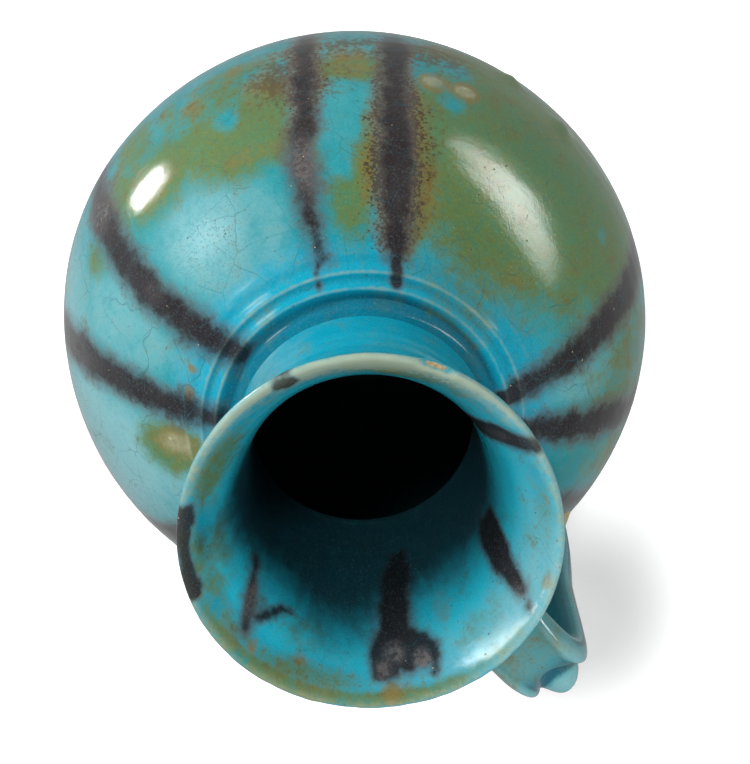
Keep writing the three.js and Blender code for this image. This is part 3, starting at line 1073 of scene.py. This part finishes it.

# %% [markdown]
# The mouth. Inside the neck the same dark paint was dabbed on six times, some dabs over the lip.
# The lip is worn to a cream edge. Further down the inside is painted almost black: painted shade.
# Below the lip the right wall and the far side are painted paler: painted light.

# %% Dabs in the mouth
DABS = [
    [(-99.5, 172, 0.5), (-96, 178, 0.9), (-93, 183, 1.4), (-90, 187, 1.6)],
    [(-88, 184.5, 0.8), (-84.5, 182.5, 0.9), (-79.5, 178, 1.1), (-75, 177.2, 0.8)],
    [(-24.3, 152, 1.6), (-26, 160, 2.8), (-28.5, 168, 3.2), (-30, 177, 3.6)],
    [(-22.4, 150.5, 0.6), (-24.5, 158, 1.4)],
    [(-28.5, 155, 0.6), (-29, 164, 1.6)],
    [(-32, 178, 3.2), (-36, 182.5, 2.8), (-37.5, 187, 2.0)],
    [(-30, 179, 3.2), (-31.5, 183.5, 3.8), (-34, 186.5, 2.4)],
    [(-25, 179.5, 2.6), (-27, 186, 2.2)],
    [(-24, 180, 1.8), (-20.5, 181, 1.9), (-17.6, 183.8, 1.7), (-17.2, 186, 1.4), (-18.6, 189, 1.0)],
    [(-23.5, 183.5, 2.0), (-21.5, 186, 1.8)],
    [(21.5, 190.8, 1.0), (21.8, 191.4, 0.8)],
    [(23.5, 188, 1.0), (24.8, 184.5, 2.2), (27, 178, 3.6), (29, 172, 4.3), (30.2, 168.5, 3.8)],
    [(27.5, 165, 0.8), (29, 170, 2.0)],
    [(82, 192, 2.4), (86, 185, 3.4), (88, 174, 3.0), (89, 166, 1.8)],
]
LIP_DABS = [
    [(163.5, 192.6, 1.0), (167.5, 192.2, 2.0)],
    [(165, 191, 2.4), (168, 184, 2.0)],
    [(-140, 191.8, 2.4), (-128, 192.3, 1.5), (-113, 192.2, 2.2)],
    [(-137, 190.5, 2.8), (-138, 188, 1.9)],
    [(-114, 190.5, 2.4), (-113.5, 189, 1.9)],
    [(80, 192.6, 1.4), (82, 191, 1.8)],
]
MOUTH_OLIVE = [
    (-123, 189.5, 9, 2.6, 0.6),
    (-110, 187.5, 9, 3.4, 0.55),
    (-60, 189.0, 18, 2.6, 0.5),
    (-155, 187, 16, 6, 0.6),
    (-75, 190, 16, 2.4, 0.5),
    (-95, 190, 45, 2.6, 0.4),
    (-60, 192, 70, 1.6, 0.7),
    (-120, 183, 12, 6, 0.4),
    (-66, 181, 10, 5, 0.3),
    (44, 184, 8, 6, 0.1),
    (4, 186, 10, 4, 0.25),
    (58, 190, 12, 3, 0.25),
    (130, 188, 20, 5, 0.5),
]
MOUTH_OCHRE = [
    (-8.5, 176, 5.5, 5, 0.65),
    (-34, 191, 3.5, 2.2, 1.0),
    (60, 191, 3.0, 1.2, 0.6),
    (-66, 186.5, 4, 1.6, 0.7),
    (-84, 189.5, 2.5, 1.8, 1.0),
    (33, 192, 4, 1.2, 0.7),
    (-60, 191.5, 10, 1.5, 0.5),
]
MOUTH_VEIL = [
    (-21.8, 185.8, 3.2, 2.6, 0.95),
    (-31.5, 182.6, 4.4, 2.8, 0.75),
    (-36, 186.4, 3.4, 2.4, 0.6),
    (-93, 181, 5, 6, 0.6),
    (85, 183, 3, 6, 0.4),
    (23, 188, 3, 4, 0.35),
]
MOUTH_SMOKE = [
    [(-89, 188, 3.0), (-93, 181, 3.6), (-99, 172, 2.0)],
    [(-34.5, 183.5, 4.6), (-28, 184.5, 5.4), (-21, 185, 4.4)],
    [(-31, 180, 6.0), (-26, 160, 4.0)],
    [(23, 189, 2.2), (27, 178, 4.4), (31, 165, 4.4)],
    [(83, 190, 2.6), (88, 172, 3.4)],
]

# %% Paint on the neck
# Painted shade: below this height, which waves round the mouth and lies higher on the unlit side, the
# inside of the neck is painted dark.
SHADE_LINE = 170
SHADE_WAVES = [(-55, 22, 9.5), (-128, 26, 10), (36, 16, 2.5), (76, 28, -9)]


def shade_line(azimuth):
    waves = [rise * around(azimuth, middle, width) for middle, width, rise in SHADE_WAVES]
    return SHADE_LINE + sum(waves)


def neck_masks(piece):
    spots, azimuth, radius = places(piece)
    height = spots[:, 2]
    inner = 1 - ease(0.9, 2.1, radius - neck_inside_at(height))
    inner = np.maximum(inner, ease(191.6, 192.4, height) * (radius < RIM_RADIUS - 0.9))

    def stain(marks):
        return blobs(azimuth, height, marks) * inner

    far_side = around(azimuth, 140, 45)
    near_side = around(azimuth, -60, 60)
    right_side = around(azimuth, 20, 45)
    upper = ease(182, 191, height)
    dabs = strokes(spots, DABS, neck_inside_at, 3.6) * inner
    lip_dabs = strokes(spots, LIP_DABS, lambda z: RIM_RADIUS - 1.6, 2.4)
    worn = ease(LIP_TOP - 2.2, LIP_TOP - 0.3, height) * ease(RIM_RADIUS - 3.2, RIM_RADIUS - 1.0, radius)
    pale = ease(LIP_TOP - 7.0, LIP_TOP - 0.8, height) * ease(RIM_RADIUS - 8.0, RIM_RADIUS - 2.0, radius)
    # The lip is worn pale all round. On the far side it and the wall below it are painted paler still:
    # painted light.
    edge = (0.3 + 0.3 * far_side) * worn + (0.18 + 0.14 * far_side) * pale
    edge = edge + 0.6 * inner * far_side * ease(182, 190, height)
    # Painted shade on the left inner wall, up to just under the lip.
    shade = 0.5 * around(azimuth, -130, 14) * (1 - ease(188.5, 191.5, height))
    chip = 0.75 * around(azimuth, chip_middle, chip_half)
    chip = chip * ease(190.2, 191.2, height) * ease(39.8, 41.4, radius)
    # Painted light: the inner wall below the lip is painted paler, most on the right side.
    lit_wall = inner * (0.2 + 0.6 * right_side) * ease(173, 189, height)
    return {
        "stripe": np.maximum(dabs, lip_dabs),
        "veil": stain(MOUTH_VEIL),
        "pool": (1 - inner) * (1 - ease(135, 139, height)),
        "olive": stain(MOUTH_OLIVE),
        "ochre": stain(MOUTH_OCHRE),
        "milk": lit_wall + 0.6 * (1 - inner) * around(azimuth, 190, 22),
        "bare": np.maximum(chip, 0.25 * worn),
        # Painted shade inside the neck: below the shade line and on the left wall.
        "soil": inner * np.maximum(1 - ease(-14, 14, height - shade_line(azimuth)), shade),
        "cream": edge,
        "crackle": 0.5,
        "rough": 0.3 * edge + 0.5 * inner * right_side * ease(182, 187, height),
        "blue": 1 - 0.5 * upper + inner * (1 - 0.3 * upper),
        "dirt": ease(184, 191, height) * (0.12 + 0.2 * near_side),
        "smoke": strokes(spots, MOUTH_SMOKE, neck_inside_at, 6.0) * inner,
    }


paint(neck, **neck_masks(neck))
paint(neck_slip, pool=0.7, blue=1.0)

# %% Paint on the handle
BARE_EDGE = (9, 13)

strap_rib_heights = strap_ribs(strap_along, strap_across)
strap_crests = ease(0.6, 1.5, strap_rib_heights)
strap_hollow = ease(0.25, 0.36, strap_along) * (1 - ease(0.0, 0.9, strap_rib_heights))
strap_hollow = strap_hollow * (strap_at[:, 1] > 0)
strap_top = bump(strap_along - 0.16, 0.13)
paint(
    handle_strap,
    pool=0.85 * strap_hollow,
    olive=0.3 * strap_top + 0.05,
    ochre=0.3 * strap_top,
    cream=0.2 * strap_crests + 0.25 * strap_top,
    milk=0.6 + 0.35 * strap_crests,
    dirt=0.25 * strap_top,
    crackle=0.4,
)
paint(handle_top_pad, **neck_masks(handle_top_pad))
base_pad_masks = globe_masks(handle_base_pad)
base_pad_masks["bare"] = ease(*BARE_EDGE, places(handle_base_pad)[0][:, 1])
paint(handle_base_pad, **base_pad_masks)

# %% [markdown]
# The glaze. A clear alkaline glaze turns turquoise with copper. It is thick and dark where it
# pools, pale where it is thin, crazed all over with hairlines and pricked with pinholes. The
# material mixes its colours one over the other, in the order in which they came about: glaze,
# paint, stains, wear and dirt. Among them are painted shade inside the pot, and painted light and
# glints in a few places. Noise at several scales breaks up the edge of each mask.

# %% Glaze colours
TURQUOISE = colour(0.035, 0.285, 0.315)
DEEP_TURQUOISE = colour(0.005, 0.225, 0.258)
BLUE = colour(0.003, 0.29, 0.41)
BRIGHT_BLUE = colour(0.018, 0.46, 0.6)
SKY_BLUE = colour(0.2, 0.42, 0.45)
POOLED = colour(0.003, 0.07, 0.12)
GREEN = colour(0.112, 0.164, 0.036)
OLIVE = colour(0.118, 0.134, 0.02)
OCHRE = colour(0.2, 0.135, 0.03)
TEAL_GREEN = colour(0.068, 0.167, 0.066)
AUBERGINE = colour(0.02, 0.013, 0.014)
# Dark paint where it lies in the painted shade inside the pot.
SHADED_PAINT = colour(0.004, 0.003, 0.003)
SMOKE = colour(0.085, 0.075, 0.075)
UMBER = colour(0.17, 0.105, 0.022)
DIRT = colour(0.06, 0.045, 0.018)
RUST = colour(0.04, 0.021, 0.006)
GREY_VEIL = colour(0.16, 0.14, 0.135)
BUFF = colour(0.56, 0.46, 0.29)
CREAM = colour(0.35, 0.4, 0.28)
# The colour of the painted shade inside the pot.
SHADE_TONE = colour(0.003, 0.017, 0.024)
HAIRLINE = colour(0.01, 0.1, 0.12)

# %% Masks and noises of the glaze
glaze_material, place = new_material("turquoise_glaze")


def noise(place, scale, detail=3.0, stretch=None):
    if stretch:
        place = place.node("ShaderNodeMapping", inputs={"Vector": place, "Scale": stretch})
    settings = {"Vector": place, "Scale": scale, "Detail": detail, "Roughness": 0.6}
    return place.node("ShaderNodeTexNoise", inputs=settings)


def stored_masks(place):
    found = {}
    for layer, names in MASKS.items():
        whole = place.node("ShaderNodeAttribute", {"attribute_name": layer}, output="Color")
        for channel, name in zip(("Red", "Green", "Blue"), names):
            found[name] = place.node("ShaderNodeSeparateColor", inputs={"Color": whole}, output=channel)
        found[names[3]] = place.node("ShaderNodeAttribute", {"attribute_name": layer}, output="Alpha")
    return found


mask = stored_masks(place)
broad = noise(place, 38)
patchy = noise(place, 130, 4.0)
runny = noise(place, 260, 3.0, (1, 1, 0.22))
grainy = noise(place, 620, 3.0)
gritty = noise(place, 1300, 2.0)
dusty = noise(place, 2100, 2.0)
# The same noises about zero, which push an edge both ways.
patch, run, grain, grit, dust = (wave - 0.5 for wave in (patchy, runny, grainy, gritty, dusty))

# %% Glaze, paint and stains
body = (broad * 0.7 + runny * 0.5).over(0.42, 0.76).tint(DEEP_TURQUOISE, TURQUOISE)
blueness = mask["blue"] + patch * 0.5 + run * 0.7
body = blueness.over(0.0, 1.0).tint(body, BLUE)
body = blueness.over(0.9, 2.1).tint(body, BRIGHT_BLUE)
# Milky haze, partly painted sheen and painted light.
haze = mask["milk"] + patch * 0.7 + grain * 0.35
body = (haze.over(0.05, 1.1) * 0.9).tint(body, SKY_BLUE)
body = (mask["pool"] + patch * 0.3).over(0.1, 1.05).tint(body, POOLED)

mottle = patch * 0.9 + grain * 0.5 + run * 0.5
olive_amount = (mask["olive"] + mottle).over(-0.05, 0.8)
green_tone = (broad * 0.5 + grainy * 0.6).over(0.4, 0.7).tint(TEAL_GREEN, GREEN)
olive_tone = (runny * 0.6 + patchy * 0.6).over(0.52, 0.9).tint(green_tone, OLIVE)
olive_tone = ((patchy * 0.6 + gritty * 0.5).over(0.52, 0.8) * 0.25).tint(olive_tone, UMBER)
body = (olive_amount * 0.95).tint(body, olive_tone)
ochre_amount = (mask["ochre"] + mottle).over(0.2, 1.1)
body = (ochre_amount * 0.8).tint(body, OCHRE)
grime = grainy * 0.75 + dusty * 0.25 + patchy * 0.25
dirt = (grime + mask["dirt"] * 0.3).over(0.74, 0.9) * (0.25 + mask["dirt"] * 0.6)
body = dirt.tint(body, DIRT)
smoke_amount = (mask["smoke"] + mottle).over(0.1, 1.2)
body = (smoke_amount * 0.75).tint(body, SMOKE)
# Painted shade: the inside of the pot is tinted almost black.
soil_amount = (mask["soil"] + patch * 0.2 + run * 0.4).over(0.0, 1.0)
body = (soil_amount * 0.97).tint(body, SHADE_TONE)

under_fringe = (mask["fringe"] + mottle * 0.5).over(0.1, 0.75)
body = (under_fringe * 0.7).tint(body, UMBER)
granular = grit * 2.2 + grain * 0.9 + patch * 0.6
fringe_amount = (mask["fringe"] + granular).over(0.42, 0.8)
body = (fringe_amount * 0.85).tint(body, RUST)
feather = run * 0.35 + grain * 0.25 + patch * 0.5
stripe_amount = (mask["stripe"] + feather).over(0.05, 0.8)
thick_paint = stripe_amount * 0.7 + patchy * 0.35 + grainy * 0.15
paint_tone = thick_paint.over(0.5, 1.0).tint(SMOKE, AUBERGINE)
# Painted shade: dabs deep in the mouth turn black with it.
paint_tone = (soil_amount * 0.9).tint(paint_tone, SHADED_PAINT)
body = (stripe_amount * 0.97).tint(body, paint_tone)
cloudy = 1 + grain * 2.4 + grit * 1.2 + patch
veil_amount = (mask["veil"] * cloudy).over(0.0, 1.35) * stripe_amount
body = (veil_amount * 0.85).tint(body, GREY_VEIL)

# %% [markdown]
# Crazing and pinholes. Crazing is a net of hairlines: the borders of Voronoi cells, bent by a
# little noise so that they don't run straight. Pinholes are the middles of small cells, and only
# some cells have one.

# %% Crazing, pinholes and wear
BEND_REACH = (0.006, 0.006, 0.006)
PIT_SCALE = 520.0


def cells(place, scale, settings=None, output=0):
    return place.node("ShaderNodeTexVoronoi", settings, {"Vector": place, "Scale": scale}, output)


bend_inputs = {"Vector": place, "Scale": 90, "Detail": 2.0}
bend = place.node("ShaderNodeTexNoise", inputs=bend_inputs, output="Color")
bent = place.node(
    "ShaderNodeVectorMath",
    {"operation": "MULTIPLY_ADD"},
    {"Vector": bend, "Vector_001": BEND_REACH, "Vector_002": place},
)
border = {"feature": "DISTANCE_TO_EDGE"}
wide_net = cells(bent, 95.0, border)
fine_net = cells(bent, 240.0, border)
craze = (1 - wide_net.over(0.003, 0.014)) * patchy.over(0.38, 0.6)
craze = craze + 0.6 * (1 - fine_net.over(0.006, 0.03)) * broad.over(0.45, 0.65)
craze_amount = craze * mask["crackle"]
body = (craze_amount * 0.42).tint(body, HAIRLINE)
body = (dusty.over(0.5, 0.8) * 0.14).tint(body, SKY_BLUE)
body = ((1 - dusty.over(0.22, 0.5)) * 0.18).tint(body, POOLED)

pit_cell = cells(place, PIT_SCALE)
pit_kind = cells(place, PIT_SCALE, output="Color")
pit_luck = place.node("ShaderNodeSeparateColor", inputs={"Color": pit_kind}, output="Red")
pit = (1 - pit_cell.over(0.06, 0.18)) * pit_luck.over(0.9, 0.92)
speckle_cell = cells(place, 1500.0)
speckled = (mask["speck"] + patch * 1.2).over(0.3, 1.0)
pit = pit + (1 - speckle_cell.over(0.1, 0.36)) * speckled * 0.55
# Painted glints: pale flecks in a few small cells, most on the paint and its fringes.
glint_fleck = (1 - pit_cell.over(0.04, 0.13)) * (1 - pit_luck.over(0.1, 0.12))
body = (pit * 0.75).tint(body, RUST)
body = (glint_fleck * (0.1 + 0.8 * stripe_amount + 0.4 * fringe_amount)).tint(body, BUFF)

cream_amount = (mask["cream"] + grain * 0.5 + patch * 0.6).over(0.15, 1.0)
cream_amount = cream_amount * (1 - stripe_amount * 0.85)
body = (cream_amount * 0.85).tint(body, CREAM)
# Bare body, and the one painted glint, in ochre and buff.
bare_and_glint = (mask["bare"] + grain * 0.4 + patch * 0.3).over(0.4, 0.6)
body = bare_and_glint.tint(body, (patchy * 0.6 + dusty * 0.5).over(0.3, 0.8).tint(OCHRE, BUFF))


# %% Gloss and relief of the glaze
def tilted(place, relief, strength, distance):
    settings = {"Strength": strength, "Distance": distance, "Height": relief}
    return place.node("ShaderNodeBump", inputs=settings)


dull = soil_amount * 0.4 + mask["rough"] * 0.2 + olive_amount * 0.05
dull = dull + veil_amount * 0.35 + bare_and_glint * 0.5
gloss = 0.09 + dull + dust * 0.1 + pit * 0.3 + cream_amount * 0.2
relief = patchy * 0.5 + grainy * 0.22 + dusty * 0.12 - craze_amount * 0.05 - pit * 0.8
tilt = tilted(place, relief, 0.35, 0.4 * MM)
glaze = place.node(
    "ShaderNodeBsdfPrincipled",
    inputs={"Base Color": body, "Roughness": gloss, "Normal": tilt, "Specular IOR Level": 0.36},
)
close_material(place, glaze)

# %% [markdown]
# The bare body. Stonepaste is ground quartz with a little clay and glass. Fired, it is a sandy
# buff with coarse grains, and on the foot it is rubbed darker by handling.

# %% Bare stonepaste
FIRED_BUFF = colour(0.56, 0.45, 0.28)
RUBBED = colour(0.33, 0.24, 0.13)
SAND_GRAIN = colour(0.72, 0.64, 0.47)

clay_material, place = new_material("bare_clay")
smudge = noise(place, 90, 4.0)
sand = noise(place, 1500, 2.0)
wheel = noise(place, 300, 2.0, (0.06, 0.06, 4.0))
clay = (smudge * 0.8 + wheel * 0.4).over(0.45, 0.85).tint(FIRED_BUFF, RUBBED)
clay = (sand.over(0.6, 0.72) * 0.6).tint(clay, SAND_GRAIN)
clay = ((1 - sand.over(0.28, 0.38)) * 0.6).tint(clay, RUBBED)
clay_relief = sand * 0.5 + wheel * 0.4 + smudge * 0.3
clay_tilt = tilted(place, clay_relief, 0.6, 0.3 * MM)
clay_gloss = 0.72 + (smudge - 0.5) * 0.3
bare = place.node(
    "ShaderNodeBsdfPrincipled",
    inputs={"Base Color": clay, "Roughness": clay_gloss, "Normal": clay_tilt},
)
close_material(place, bare)

# %% [markdown]
# Joining the frame. Each finished piece stands for the CAD solid of the same part, rides with the
# jug's one body and takes one of the two finishes.

# %% Pieces and their solids
GLAZED = {
    "lower_body": lower_body,
    "belly_slip": belly_slip,
    "upper_body": upper_body,
    "neck_slip": neck_slip,
    "neck": neck,
    "handle_strap": handle_strap,
    "handle_top_pad": handle_top_pad,
    "handle_base_pad": handle_base_pad,
}
BARE = {"foot_ring": foot_ring, "foot_slip": foot_slip}


def dress(solids, material, finish):
    for node, piece in solids.items():
        piece.data.materials.append(material)
        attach(piece, "root")
        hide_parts(node)
    print(finish, "on", ", ".join(sorted(solids)))


dress(GLAZED, glaze_material, "glazed_stonepaste")
dress(BARE, clay_material, "bare_stonepaste")
